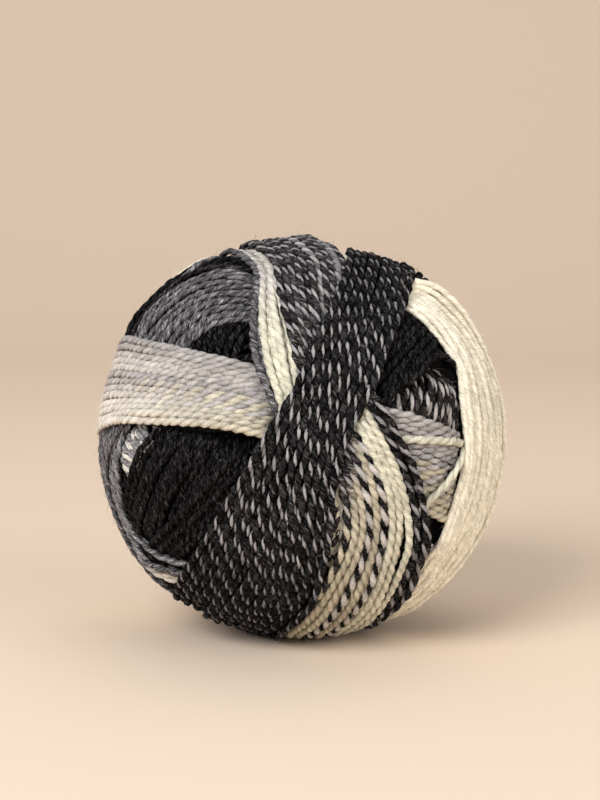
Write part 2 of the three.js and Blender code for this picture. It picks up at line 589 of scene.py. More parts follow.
# The ball is not quite round: it dips beside the raised wraps that cross at its top.
HOLLOWS: tuple[Hollow, ...] = (
    Hollow(lon=138, lat=71, width=8, length=20, depth=5.4),
    Hollow(lon=-133, lat=67, width=5.5, length=18, depth=3.0),
)


@dataclass
class Turn:
    """One turn of yarn as it lies.

    It has unit directions from the middle of the ball and sideways across the yarn, heights over the core in
    millimetres, and how far the twist runs ahead at each step, in radians.
    """

    wrap: Wrap
    number: int
    directions: Array
    sideways: Array
    heights: Array
    twist_lead: Array

    def spots(self, core_radius: float) -> Array:
        """The places of the yarn's middle from the middle of the ball, in millimetres."""
        return self.directions * (core_radius + self.heights)[:, None]


class Terrain:
    """The surface of the growing ball: its height over the core, on the cells of a cube around it."""

    def __init__(self, core_radius: float, bare: float = 0.0, cells: int = 200) -> None:
        """Starts from the bare core.

        Args:
            core_radius: The radius that heights are counted from, in millimetres.
            bare: The height where no yarn lies.
            cells: How many cells there are along an edge of the cube.
        """
        self.core_radius = core_radius
        self.cells = cells
        self.heights = np.full(6 * cells * cells, bare)

    def cell_of(self, places: Array) -> Array:
        """Finds cells.

        Args:
            places: Places round the middle of the ball.

        Returns:
            The number of the cell that each place lies over.
        """
        flat = places.reshape(-1, 3)
        axis = np.abs(flat).argmax(axis=1)
        rows = np.arange(len(flat))
        major = flat[rows, axis]
        number = axis * 2 + (major > 0)
        for turn in (2, 1):
            across = np.arctan2(flat[rows, (axis + turn) % 3], np.abs(major)) * (2 / math.pi) + 0.5
            number = number * self.cells + np.minimum((across * self.cells).astype(int), self.cells - 1)
        return number.reshape(places.shape[:-1])

    def cell_directions(self) -> Array:
        """Works out where the cells lie.

        Returns:
            The direction of the middle of every cell.
        """
        line = np.tan(((np.arange(self.cells) + 0.5) / self.cells - 0.5) * (math.pi / 2))
        v, u = np.meshgrid(line, line, indexing="ij")
        faces = []
        for axis in range(3):
            for major in (-1.0, 1.0):
                sides = np.stack([np.full_like(u, major), u, v], axis=-1)
                faces.append(np.roll(sides, axis, axis=-1).reshape(-1, 3))
        return unit(np.concatenate(faces))

    def read(self, places: Array) -> Array:
        """The surface's height under each place."""
        return self.heights[self.cell_of(places)]

    def lay(self, turn: Turn, radius: float, finer: int = 3, lines: int = 11, reach: float = 0.98) -> None:
        """Raises the surface to the back of a turn of yarn.

        Args:
            turn: The turn, at its final height.
            radius: The yarn's radius, in millimetres.
            finer: How many places are worked out for each step of the turn.
            lines: How many lines along the yarn's back are worked out.
            reach: How far they go to each side, as a share of the radius.
        """
        at = np.arange(len(turn.heights) * finer) / finer
        directions = between(turn.directions, at)
        sideways = between(turn.sideways, at)
        heights = between(turn.heights, at)
        for offset in np.linspace(-1, 1, lines) * radius * reach:
            places = directions * (self.core_radius + heights)[:, None] + sideways * offset
            top = heights + math.sqrt(radius**2 - offset**2)
            np.maximum.at(self.heights, self.cell_of(places), top)


class Roller:
    """Rolls the growing ball round, as the maker's hands do, by pressing its broad hills level."""

    def __init__(self, terrain: Terrain, blur: float, count: int, neighbours: int = 9) -> None:
        """Spreads even spots over the ball and finds those nearest to each cell.

        Args:
            terrain: The surface to roll.
            blur: How broad the hills are that it levels, in millimetres.
            count: How many spots the hills are worked out at.
            neighbours: How many spots count at each cell.
        """
        number = np.arange(count) + 0.5
        latitude = np.arcsin(1 - 2 * number / count)
        longitude = number * math.pi * (3 - math.sqrt(5))
        level = np.stack([np.cos(longitude), np.sin(longitude)]) * np.cos(latitude)
        tree = KDTree(count)
        for index, spot in enumerate(np.stack([*level, np.sin(latitude)], axis=1)):
            tree.insert(spot, index)
        tree.balance()
        found = [tree.find_n(cell, neighbours) for cell in terrain.cell_directions()]
        self.count = count
        self.nearest = np.array([[spot[1] for spot in near] for near in found])
        far = np.array([[spot[2] for spot in near] for near in found]) * terrain.core_radius
        weights = np.exp(-((far / blur) ** 2) / 2)
        self.weights = weights / weights.sum(axis=1, keepdims=True)

    def hills(self, terrain: Terrain) -> Array:
        """Blurs the surface.

        Args:
            terrain: The surface.

        Returns:
            How far the blurred surface stands above its mean height, at every cell.
        """
        spots = self.nearest.ravel()
        share = np.bincount(spots, self.weights.ravel(), minlength=self.count)
        weighted = self.weights * terrain.heights[:, None]
        total = np.bincount(spots, weighted.ravel(), minlength=self.count)
        blurred = (self.weights * (total / share)[self.nearest]).sum(axis=1)
        return blurred - blurred.mean()

    def roll(self, terrain: Terrain, turns: list[Turn]) -> None:
        """Presses the hills level.

        Args:
            terrain: The surface to roll.
            turns: The turns on it, which sink and rise with it.
        """
        hills = self.hills(terrain)
        terrain.heights -= hills
        for turn in turns:
            turn.heights = turn.heights - softened(softened(hills[terrain.cell_of(turn.directions)]))


@dataclass
class Winder:
    """Winds the wraps on the core, in order. Lengths are millimetres, and radius is the finished ball's.

    A turn has so many steps. It strays sideways by stray, and its twist by twist_stray radians, in
    wave_cycles waves a turn that are divided by how steady the hand is. It is pulled straighter taut_rounds
    times: the more, the longer the dips that it bridges. sink is how far it presses into those that it
    crosses, and bury how much further it does so where its wrap is crowded and others lie on it. The yarn is
    felt along so many lines, as far as reach of its radius to each side.
    """

    yarn: Yarn
    radius: float
    core_radius: float
    seed: int = 11
    steps: int = 300
    stray: float = 0.12
    taut_rounds: int = 90
    sink: float = 0.4
    bury: float = 0.9
    twist_stray: float = 1.1
    wave_cycles: tuple[int, ...] = (2, 3, 5, 7, 11)
    steady: float = 1.2
    lines: int = 9
    reach: float = 0.92
    roll_blur: float = 4.5
    roll_spots: int = 900
    turns: list[Turn] = field(default_factory=list)

    @property
    def angles(self) -> Array:
        """The angle of each step round a turn, in radians."""
        return np.arange(self.steps) * (2 * math.pi / self.steps)

    def wind(self, wraps: tuple[Wrap, ...]) -> Terrain:
        """Lays every turn.

        Args:
            wraps: The wraps, from the deepest to the last.

        Returns:
            The surface of the wound ball.
        """
        terrain = Terrain(self.core_radius)
        roller = Roller(terrain, blur=self.roll_blur, count=self.roll_spots)
        draws = np.random.default_rng(self.seed)
        for wrap in wraps:
            latitudes, buried, crowding, deeper = self.spread(wrap)
            waver = self.waves(draws, 1, wrap.drift)
            strays = self.waves(draws, wrap.turns, self.stray) + waver
            leads = self.waves(draws, wrap.turns, self.twist_stray)
            leads += draws.uniform(0, 2 * math.pi, (wrap.turns, 1))
            for number in sorted(range(wrap.turns), key=lambda number: number not in buried):
                latitude = np.radians(latitudes[number]) + strays[number] / self.core_radius
                sink = self.sink + deeper + self.bury * crowding * (number in buried)
                turn = self.lay_turn(terrain, wrap, number, latitude, sink)
                turn.twist_lead = leads[number]
                terrain.lay(turn, self.yarn.pressed_radius)
                self.turns.append(turn)
            roller.roll(terrain, self.turns)
        return terrain

    def spread(self, wrap: Wrap) -> tuple[Array, set[int], Array, Array]:
        """Places a wrap's turns side by side.

        Where the wrap is too narrow for all of them, an even choice of turns stays on top, side by side, and
        the others lie buried under them.

        Args:
            wrap: The wrap.

        Returns:
            Each turn's latitude over the wrap's pole at each step, in degrees, the numbers of the turns that
            are buried, and, at each step, how crowded the wrap is from 0 to 1 and how deep it is buried.
        """
        middle, width, deeper = wrap.lie(np.arange(self.steps) * (360 / self.steps))
        room = np.radians(width) * self.radius / wrap.spacing
        kept = int(np.clip(round(room.min()), 1, wrap.turns))
        numbers = np.arange(wrap.turns)
        across = np.repeat((2 * numbers[:, None] + 1) / wrap.turns - 1, self.steps, axis=1)
        places = np.arange(kept) + 0.5
        tops = np.round(places * wrap.turns / kept - 0.5).astype(int)
        crowding = np.clip((wrap.turns - room) / max(1, wrap.turns - kept), 0, 1)
        even = 2 * places[:, None] / kept - 1
        across[tops] += crowding * (even - across[tops])
        below = {int(number) for number in numbers if number not in tops}
        return middle + across * width / 2, below, crowding, deeper

    def waves(self, draws: np.random.Generator, count: int, size: float) -> Array:
        """Slow wavering of the hand.

        Args:
            draws: Where the random numbers come from.
            count: How many turns waver.
            size: How far they waver.

        Returns:
            An offset for each turn and step, in the unit of size.
        """
        total = np.zeros((count, self.steps))
        for cycles in self.wave_cycles:
            wave = np.sin(cycles * self.angles + draws.uniform(0, 2 * math.pi, (count, 1)))
            total += draws.normal(0, 1, (count, 1)) * wave / math.sqrt(cycles)
        return total * size / self.steady

    def lay_turn(self, terrain: Terrain, wrap: Wrap, number: int, latitude: Array, sink: Array) -> Turn:
        """Lays one turn on the ball.

        Args:
            terrain: The surface so far.
            wrap: The wrap that the turn belongs to.
            number: The turn's place across the wrap.
            latitude: How far it lies towards the wrap's pole at each step, in radians.
            sink: How far it presses into what lies under it at each step, in millimetres.

        Returns:
            The turn at rest, with its twist even.
        """
        pole, start, quarter = wrap.axes()
        angles = self.angles[:, None]
        level = np.cos(angles) * start + np.sin(angles) * quarter
        directions = np.cos(latitude)[:, None] * level + np.sin(latitude)[:, None] * pole
        forward = np.roll(directions, -1, axis=0) - np.roll(directions, 1, axis=0)
        sideways = unit(np.cross(forward, directions))
        step = np.linalg.norm(forward, axis=1).mean() / 2 * self.core_radius
        heights = self.pull_taut(self.rest(terrain, directions, sideways) - sink, step)
        return Turn(wrap, number, directions, sideways, heights, np.zeros(self.steps))

    def rest(self, terrain: Terrain, directions: Array, sideways: Array) -> Array:
        """Rests round yarn on the surface.

        Args:
            terrain: The surface so far.
            directions: The way to each step from the middle of the ball.
            sideways: The way across the yarn at each step.

        Returns:
            The lowest height at which the yarn clears the surface, at each step.
        """
        radius = self.yarn.pressed_radius
        found = np.full(len(directions), -np.inf)
        for offset in np.linspace(-self.reach, self.reach, self.lines) * radius:
            under = terrain.read(directions * self.core_radius + sideways * offset)
            found = np.maximum(found, under + math.sqrt(radius**2 - offset**2))
        return found

    def pull_taut(self, resting: Array, step: float) -> Array:
        """Lets tight yarn bridge the dips between the places that carry it.

        Args:
            resting: The lowest heights that the surface allows.
            step: The length of a step along the yarn, in millimetres.

        Returns:
            The heights of the taut yarn.
        """
        fall = step**2 / (2 * self.core_radius)
        heights = resting
        for _ in range(self.taut_rounds):
            straight = (np.roll(heights, 1) + np.roll(heights, -1)) / 2 - fall
            heights = np.maximum(resting, straight)
        for _ in range(3):
            heights = softened(heights)
        return heights


# ---------------- meshes


@dataclass
class TubeBatch:
    """Closed tubes that become one mesh. Places are in metres, and lengths in millimetres.

    In the bake map the tubes lie in rows of row_length, one after another with row_gap between them. A tube
    fills row_fill of its row's height.
    """

    sides: int
    row_length: float = 320.0
    row_gap: float = 2.0
    row_fill: float = 0.8
    map_margin: float = 0.01
    tip_length: float = 0.6
    places: list[Array] = field(default_factory=list)
    dyes: list[Array] = field(default_factory=list)
    fibres: list[Array] = field(default_factory=list)
    lengths: list[Array] = field(default_factory=list)

    def add(self, rings: Array, ends: Array, dye: Array, fibre: Array, along: Array) -> None:
        """Adds a tube.

        Args:
            rings: The places of its rings, as rings by sides by 3.
            ends: The two points that close it.
            dye: The linear colours of the rings' points, painted shade included, as rings by sides by 3.
            fibre: The fibre coordinates of the rings' points, as rings by sides by 3.
            along: How far along the tube each ring is, in millimetres.
        """
        self.places.append(np.concatenate([rings.reshape(-1, 3), ends]))
        for kept, values in ((self.dyes, dye), (self.fibres, fibre)):
            flat = values.reshape(-1, 3)
            kept.append(np.concatenate([flat, flat[:1], flat[-1:]]))
        self.lengths.append(along - along[0])

    @property
    def triangles(self) -> int:
        """How many triangles the mesh will have."""
        return sum(len(along) * self.sides * 2 for along in self.lengths)

    def rows(self) -> list[tuple[int, float]]:
        """Puts the tubes in rows for the bake map.

        Returns:
            The row of each tube, and how far along the row it starts.
        """
        row, start = 0, 0.0
        found = []
        for along in self.lengths:
            if start > 0 and start + along[-1] > self.row_length:
                row, start = row + 1, 0.0
            found.append((row, start))
            start += along[-1] + self.row_gap
        return found

    def to_object(self, name: str) -> bpy.types.Object:
        """Makes the mesh, with its bake map and attributes, and links it to the scene.

        Args:
            name: The object's name.

        Returns:
            The object.
        """
        quads, quad_maps, caps, cap_maps = [], [], [], []
        rows = self.rows()
        longest = max(self.row_length, *(along[-1] for along in self.lengths))
        side = np.arange(self.sides)
        heights = (1 - self.row_fill) / 2 + np.arange(self.sides + 1) / self.sides * self.row_fill
        first = 0
        for along, (row, start) in zip(self.lengths, rows):
            u = self.map_margin + (along + start) / longest * (1 - 2 * self.map_margin)
            v = (row + heights) / (rows[-1][0] + 1)
            ring, place = np.indices((len(along) - 1, self.sides)).reshape(2, -1, 1)
            ring, place = ring + (0, 0, 1, 1), place + (0, 1, 1, 0)
            quads.append(first + ring * self.sides + place % self.sides)
            quad_maps.append(np.stack([u[ring], v[place]], axis=-1))
            count = len(along) * self.sides
            for end, (ring, near, far) in enumerate(((0, side + 1, side), (len(along) - 1, side, side + 1))):
                tip = np.full(self.sides, count + end)
                edge = [ring * self.sides + place % self.sides for place in (near, far)]
                caps.append(first + np.stack([tip, *edge], axis=1))
                tip_u = u[ring] + (2 * end - 1) * self.tip_length / longest
                corner_u = np.broadcast_to([tip_u, u[ring], u[ring]], (self.sides, 3))
                corner_v = np.stack([(v[near] + v[far]) / 2, v[near], v[far]], axis=1)
                cap_maps.append(np.stack([corner_u, corner_v], axis=-1))
            first += count + 2
        faces = [np.concatenate(quads), np.concatenate(caps)]
        corner_map = np.concatenate([np.concatenate(maps).reshape(-1, 2) for maps in (quad_maps, cap_maps)])
        totals = np.repeat([4, 3], [len(part) for part in faces])
        return self.write(name, np.concatenate([part.ravel() for part in faces]), corner_map, totals)

    def write(self, name: str, corners: Array, corner_map: Array, totals: Array) -> bpy.types.Object:
        """Writes the gathered arrays to a new mesh object.

        Args:
            name: The object's name.
            corners: The point of each corner of each face.
            corner_map: The bake map at each corner.
            totals: How many corners each face has.

        Returns:
            The object.
        """
        mesh = bpy.data.meshes.new(name)
        places = np.concatenate(self.places)
        mesh.vertices.add(len(places))
        mesh.vertices.foreach_set("co", places.astype(np.float32).ravel())
        mesh.loops.add(len(corners))
        mesh.loops.foreach_set("vertex_index", corners.astype(np.int32))
        mesh.polygons.add(len(totals))
        mesh.polygons.foreach_set("loop_start", (np.cumsum(totals) - totals).astype(np.int32))
        mesh.polygons.foreach_set("loop_total", totals.astype(np.int32))
        mesh.polygons.foreach_set("use_smooth", np.ones(len(totals), dtype=bool))
        layer = mesh.uv_layers.new(name=BAKE_MAP, do_init=False)
        layer.uv.foreach_set("vector", corner_map.astype(np.float32).ravel())
        for label, values in ((DYE_AND_SHADE, self.dyes), (FIBRE, self.fibres)):
            attribute = mesh.attributes.new(label, "FLOAT_VECTOR", "POINT")
            attribute.data.foreach_set("vector", np.concatenate(values).astype(np.float32).ravel())
        mesh.update(calc_edges=True)
        mesh.validate()
        piece = bpy.data.objects.new(name, mesh)
        bpy.context.scene.collection.objects.link(piece)
        return piece


# ---------------- materials


def add_node(
    tree: Tree,
    kind: str,
    values: dict[str | int, object] | None = None,
    links: dict[str | int, Socket] | None = None,
    **settings: object,
) -> bpy.types.Node:
    """Adds a node to a material.

    Args:
        tree: The material's node tree.
        kind: The node's type.
        values: What to set on its inputs.
        links: The outputs that feed its inputs.
        **settings: Properties of the node itself.

    Returns:
        The node.
    """
    node = tree.nodes.new(kind)
    for key, value in settings.items():
        setattr(node, key, value)
    for key, value in (values or {}).items():
        node.inputs[key].default_value = value
    for key, output in (links or {}).items():
        tree.links.new(output, node.inputs[key])
    return node


def new_material(name: str) -> tuple[bpy.types.Material, Tree]:
    """Makes a material with an empty node tree.

    Args:
        name: The material's name.

    Returns:
        The material and its node tree.
    """
    material = bpy.data.materials.new(name)
    material.use_nodes = True
    material.node_tree.nodes.clear()
    return material, material.node_tree


def add_surface(
    tree: Tree,
    height: Socket,
    depth: float,
    strength: float,
    values: dict[str | int, object],
    links: dict[str | int, Socket] | None = None,
) -> None:
    """Adds a bumpy surface and the material's output.

    Args:
        tree: The material's node tree.
        height: The output that raises the bumps.
        depth: How deep the bumps are, in millimetres.
        strength: How strongly they show, from 0 to 1.
        values: What to set on the shader's inputs.
        links: The outputs that feed the shader's other inputs.
    """
    relief = {"Strength": strength, "Distance": depth * MM}
    bump = add_node(tree, "ShaderNodeBump", relief, {"Height": height})
    inputs = {"Normal": bump.outputs["Normal"], **(links or {})}
    shader = add_node(tree, "ShaderNodeBsdfPrincipled", values, inputs)
    add_node(tree, "ShaderNodeOutputMaterial", {}, {"Surface": shader.outputs["BSDF"]})


@dataclass(frozen=True)
class SpunWool:
    """Woollen yarn, spun and dyed ply by ply: matt, streaked along each ply by its fibres, with pale stray
    fibres and painted glints.

    Wool fibres are some 0.03 mm thick, too fine to show, so the streaks are drawn streak_width millimetres
    wide. Heather is the broader mottling of mixed fibres, and heather_share its part beside the streaks. The
    contrasts are how many times the colour doubles for a step of 1 in both patterns: more on dark wool than
    on wool as light as light_shine, which lets light through. On dark wool the strong streaks are partly
    fibre grain and partly painted glints. Where the streaks stand out most, a pale colour is mixed in: stray
    pale fibres, and painted glints of fibres catching the light.
    """

    name: str = "spun_wool"
    roughness: float = 0.9
    specular: float = 0.02
    sheen: float = 0.01
    sheen_tint: str = "#fff8f0"
    streak_width: float = 1 / 3
    heather_width: float = 1.25
    heather_share: float = 0.35
    # On dark wool this contrast paints glints of fibres catching the light, besides their grain.
    dark_contrast: float = 17.0
    light_contrast: float = 2.6
    light_shine: float = 0.3
    bump_height: float = 0.35
    # The pale colour of stray fibres and of painted glints.
    lint_glint_colour: str = "#7b797a"
    lint_glint_share: float = 0.27
    lint_from: float = 0.52
    lint_full: float = 0.72

    def material(self) -> bpy.types.Material:
        """Makes the material. The dye, with its painted shade, is read from the mesh, and the fibres follow
        each ply.

        Returns:
            The material.
        """
        material, tree = new_material(self.name)
        dye = add_node(tree, "ShaderNodeAttribute", attribute_name=DYE_AND_SHADE).outputs["Vector"]
        fibre = {"Vector": add_node(tree, "ShaderNodeAttribute", attribute_name=FIBRE).outputs["Vector"]}
        grain = {"Scale": 1 / self.streak_width, "Detail": 3.0, "Roughness": 0.7}
        streaks = add_node(tree, "ShaderNodeTexNoise", grain, fibre).outputs["Fac"]
        mottle = {"Scale": 1 / self.heather_width, "Detail": 2.0, "Roughness": 0.5}
        heather = add_node(tree, "ShaderNodeTexNoise", mottle, fibre).outputs["Fac"]
        spun = self.spin_colour(tree, dye, streaks, heather)
        # Stray pale fibres and painted glints, mixed in where the streaks stand out most.
        span = {"From Min": self.lint_from, "From Max": self.lint_full, "To Max": self.lint_glint_share}
        pale_fibre_glint = add_node(tree, "ShaderNodeMapRange", span, {"Value": streaks})
        parts = {"Factor": pale_fibre_glint.outputs["Result"], MIX_FIRST: spun}
        pale = {MIX_SECOND: linear(self.lint_glint_colour)}
        colour = add_node(tree, "ShaderNodeMix", pale, parts, data_type="RGBA")
        values = {
            "Roughness": self.roughness,
            "Specular IOR Level": self.specular,
            "Sheen Weight": self.sheen,
            "Sheen Roughness": 0.5,
            "Sheen Tint": linear(self.sheen_tint),
        }
        links = {"Base Color": colour.outputs[MIX_RESULT]}
        add_surface(tree, streaks, self.bump_height, 0.9, values, links)
        return material

    def spin_colour(self, tree: Tree, dye: Socket, streaks: Socket, heather: Socket) -> Socket:
        """Lightens and darkens the dye along the streaks: fibre grain, and on dark wool painted glints too.

        Args:
            tree: The material's node tree.
            dye: The output with the dye.
            streaks: The output with the pattern of the fibres.
            heather: The output with the pattern of the heather.

        Returns:
            The output with the new colour.
        """
        share = {1: self.heather_share}
        both = add_node(tree, "ShaderNodeMath", share, {0: heather, 2: streaks}, operation="MULTIPLY_ADD")
        middle = {1: 0.5 + 0.5 * self.heather_share}
        stray = add_node(tree, "ShaderNodeMath", middle, {0: both.outputs[0]}, operation="SUBTRACT")
        shine = add_node(tree, "ShaderNodeRGBToBW", {}, {"Color": dye})
        span = {"From Max": self.light_shine, "To Min": self.dark_contrast, "To Max": self.light_contrast}
        contrast = add_node(tree, "ShaderNodeMapRange", span, {"Value": shine.outputs["Val"]})
        factors = {0: stray.outputs[0], 1: contrast.outputs["Result"]}
        power = add_node(tree, "ShaderNodeMath", {}, factors, operation="MULTIPLY")
        lightness = add_node(tree, "ShaderNodeMath", {0: 2.0}, {1: power.outputs[0]}, operation="POWER")
        scale = {0: dye, "Scale": lightness.outputs[0]}
        return add_node(tree, "ShaderNodeVectorMath", {}, scale, operation="SCALE").outputs[0]


@dataclass(frozen=True)
class InnerWool:
    """The black wool deep between the turns: matt, and ribbed every two turns. Its sizes are millimetres."""

    name: str = "inner_wool"
    colour: str = "#0e0d0d"
    rib_spacing: float = 3.307
    rib_depth: float = 0.5

    def material(self) -> bpy.types.Material:
        """Makes the material. A wave texture repeats 20 times in 2 pi units of length at a scale of 1.

        Returns:
            The material.
        """
        material, tree = new_material(self.name)
        place = add_node(tree, "ShaderNodeTexCoord")
        values = {"Scale": 2 * math.pi / (20 * self.rib_spacing * MM), "Distortion": 3.0, "Detail": 2.0}
        ribs = add_node(tree, "ShaderNodeTexWave", values, {"Vector": place.outputs["Object"]})
        shader = {"Base Color": linear(self.colour), "Roughness": 0.95, "Specular IOR Level": 0.1}
        add_surface(tree, ribs.outputs["Fac"], self.rib_depth, 1.0, shader)
        return material


@dataclass(frozen=True)
class BackdropPaper:
    """Uncoated studio paper: pale, warm and matt, with a faint mottling. Its sizes are millimetres."""

    name: str = "backdrop_paper"
    colour: str = "#e9d5c1"
    mottle_size: float = 16.667
    mottle_depth: float = 0.1

    def material(self) -> bpy.types.Material:
        """Makes the material.

        Returns:
            The material.
        """
        material, tree = new_material(self.name)
        place = add_node(tree, "ShaderNodeTexCoord")
        values = {"Scale": 1 / (self.mottle_size * MM), "Detail": 4.0}
        mottle = add_node(tree, "ShaderNodeTexNoise", values, {"Vector": place.outputs["Object"]})
        shader = {"Base Color": linear(self.colour), "Roughness": 0.9, "Specular IOR Level": 0.2}
        add_surface(tree, mottle.outputs["Fac"], self.mottle_depth, 0.05, shader)
        return material


# ---------------- the ball


@dataclass
class Stretch:
    """A stretch of one turn that can be seen.

    It has points along the yarn in millimetres from the frame's origin, the way out from the ball at each,
    the length so far, the twist in radians, and how far the yarn has changed to its later dye.
    """

    turn: Turn
    places: Array
    outward: Array
    along: Array
    twist: Array
    lateness: Array

    @property
    def length(self) -> float:
        """How long the stretch is, in millimetres."""
        return self.along[-1] - self.along[0]


@dataclass(frozen=True)
class Ply:
    """One ply of a stretch: its place in the twist, its two shades, and how thick and far out it is."""

    number: int
    shade: Shade
    later: Shade
    thickness: Array
    reach: Array


@dataclass
class YarnBall:
    """The wound ball. Lengths are millimetres, and centre is the middle of the ball.

    The turns are wound on a core that is core_share of the radius. Then their surface is set loft under the
    radius on average, because the plies stand proud of it. A stretch shows if it lies less than
    hidden_margin under those within look_reach yarn radii, felt along look_lines lines. It is then kept with
    tuck steps more at each end, if it has shortest steps or more. The inside lies depth_inside yarn radii
    under the surface and floor_gap of them over the floor.
    """

    yarn: Yarn
    radius: float
    centre: Array
    core_share: float = 0.9
    loft: float = 0.9
    roll_blur: float = 2.4
    roll_spots: int = 3000
    hidden_margin: float = 0.15
    look_reach: float = 1.3
    look_lines: int = 9
    tuck: int = 2
    shortest: int = 3
    fewest_rings: int = 4
    depth_inside: float = 2.6
    floor_gap: float = 1.5
    stretches: dict[str, list[Stretch]] = field(default_factory=dict)
    terrain: Terrain | None = None

    def wind(self) -> None:
        """Winds the wraps, presses the ball round and keeps what shows."""
        winder = Winder(self.yarn, self.radius, self.radius * self.core_share)
        wound = winder.wind(WRAPS)
        roller = Roller(wound, blur=self.roll_blur, count=self.roll_spots)
        roller.roll(wound, winder.turns)
        rise = self.radius - self.loft - winder.core_radius - wound.heights.mean()
        self.terrain = Terrain(winder.core_radius, -2 * self.yarn.radius)
        for turn in winder.turns:
            dip = sum(hollow.depth_at(turn.directions) for hollow in HOLLOWS)
            turn.heights = turn.heights + rise - dip
            self.terrain.lay(turn, self.yarn.radius)
        log.info("wound %d turns", len(winder.turns))
        for turn in winder.turns:
            self.keep_visible(turn)

    def keep_visible(self, turn: Turn) -> None:
        """Keeps the stretches of a turn that can be seen, with a little more at each end.

        Args:
            turn: The turn.
        """
        reach = np.linspace(-self.look_reach, self.look_reach, self.look_lines) * self.yarn.radius
        spots = turn.spots(self.terrain.core_radius)
        around = np.min([self.terrain.read(spots + turn.sideways * offset) for offset in reach], axis=0)
        shows = turn.heights + self.yarn.radius + self.hidden_margin > around
        for shift in range(1, self.tuck + 1):
            shows = shows | np.roll(shows, shift) | np.roll(shows, -shift)
        if shows.all():
            self.keep(turn, 0, len(shows))
            return
        ends = np.flatnonzero(shows & ~np.roll(shows, -1))
        for begin in np.flatnonzero(shows & ~np.roll(shows, 1)):
            end = ends[ends >= begin][0] if (ends >= begin).any() else ends[0] + len(shows)
            if end - begin >= self.shortest:
                self.keep(turn, int(begin), int(end))

    def keep(self, turn: Turn, begin: int, end: int) -> None:
        """Makes a stretch of yarn from part of a turn, in even rings.

        Args:
            turn: The turn.
            begin: The step that the stretch begins at.
            end: The step that it ends at.
        """
        count = len(turn.heights)
        spots = turn.spots(self.terrain.core_radius)
        whole = np.linalg.norm(np.roll(spots, -1, axis=0) - spots, axis=1).sum()
        rings = max(self.fewest_rings, round((end - begin) / count * whole / self.yarn.ring_step))
        at = np.linspace(begin, end, rings)
        places = between(spots, at) + self.centre
        places[:, 2] = np.maximum(places[:, 2], self.yarn.radius)
        twists = round(whole / self.yarn.twist_length)
        twist = at / count * twists * 2 * math.pi + between(turn.twist_lead, at)
        lateness = turn.wrap.lateness(at * 360 / count, turn.number)
        stretch = Stretch(turn, places, between(turn.directions, at), at / count * whole, twist, lateness)
        self.stretches.setdefault(turn.wrap.name, []).append(stretch)

    def spin(self, stretch: Stretch, batch: TubeBatch) -> None:
        """Spins the plies of a stretch.

        Args:
            stretch: The stretch.
            batch: The tubes that the plies are added to.
        """
        yarn, turn = self.yarn, stretch.turn
        draws = np.random.default_rng([turn.number, len(turn.wrap.name), len(stretch.along)])
        forward = unit(np.gradient(stretch.places, axis=0))
        outward = unit(stretch.outward - forward * dot(stretch.outward, forward))
        right = np.cross(forward, outward)
        early, late = turn.wrap.dyes_of(turn.number)
        lateness = stretch.lateness[:, None]
        lightness = early.lightness * (1 - lateness) + late.lightness * lateness
        apart = yarn.ply_offset * turn.wrap.twisted * (1 - yarn.light_loft * lightness)
        slim = early.slim + (late.slim - early.slim) * lateness
        widened = yarn.widened * (1 + yarn.light_spread * lightness)
        around = np.arange(yarn.ring_sides) * (2 * math.pi / yarn.ring_sides)
        for ply in (
            Ply(0, early.first, late.first, np.sqrt(2 - slim**2), slim),
            Ply(1, early.second, late.second, slim, np.ones_like(slim)),
        ):
            turned = (ply.number * math.pi - stretch.twist)[:, None]
            away = np.cos(turned) * outward + np.sin(turned) * right
            centres = stretch.places + away * apart * ply.reach
            run = unit(np.gradient(centres, axis=0))
            swell = 1 + yarn.uneven / 2 * ripples(stretch.along, yarn.swells, draws)[:, None]
            radii = swell * ply.thickness * (yarn.radius - apart)
            lumps = 1 + draws.normal(0, yarn.lumps, (len(radii), yarn.ring_sides, 1))
            rings = centres[:, None] + circles(around, away, np.cross(run, away)) * radii[:, None] * lumps
            off = rings - stretch.places[:, None]
            rings -= dot(off, outward[:, None]) * outward[:, None] * yarn.flattened
            rings += dot(off, right[:, None]) * right[:, None] * widened[:, None]
            ends = np.stack([centres[0] - run[0] * yarn.tip_length, centres[-1] + run[-1] * yarn.tip_length])
            depth = dot(rings - stretch.places[:, None], outward[:, None])[..., 0] / yarn.radius
            colour = ply.shade.rgb * (1 - lateness) + ply.later.rgb * lateness
            # The ply's dye, with painted shade in its valleys and down the yarn's sides.
            dye = self.tint(colour, depth, around, stretch.along, draws)
            batch.add(rings * MM, ends * MM, dye, self.fibre(stretch, ply.number, around), stretch.along)

    def fibre(self, stretch: Stretch, ply: int, around: Array) -> Array:
        """Works out the fibre coordinates of a ply, which turn with it and are drawn out along it.

        Args:
            stretch: The stretch that the ply belongs to.
            ply: The ply's number.
            around: The angle of each point round the ply, in radians.

        Returns:
            The fibre coordinates of each point of each ring.
        """
        lay = around[None] + stretch.along[:, None] * (2 * math.pi / self.yarn.twist_length)
        across = np.cos(lay) * self.yarn.ply_radius + ply * PLY_SHIFT
        up = np.sin(lay) * self.yarn.ply_radius + stretch.turn.number * TURN_SHIFT
        drawn = np.broadcast_to(stretch.along[:, None] * self.yarn.drawn_out, lay.shape)
        return np.stack([across, up, drawn], axis=2)

    def tint(
        self,
        colour: Array,
        depth: Array,
        around: Array,
        along: Array,
        draws: np.random.Generator,
    ) -> Array:
        """Colours a ply: painted shade where little light reaches it, and dye that is uneven along its
        length.

        Args:
            colour: The linear colour at each ring.
            depth: How far out of the yarn's middle each point lies, in yarn radii.
            around: The angle of each point round the ply, in radians from the side away from the other ply.
            along: How far along the yarn each ring is, in millimetres.
            draws: Where the random numbers come from.

        Returns:
            The linear colour of each point of each ring, with its painted shade.
        """
        yarn = self.yarn
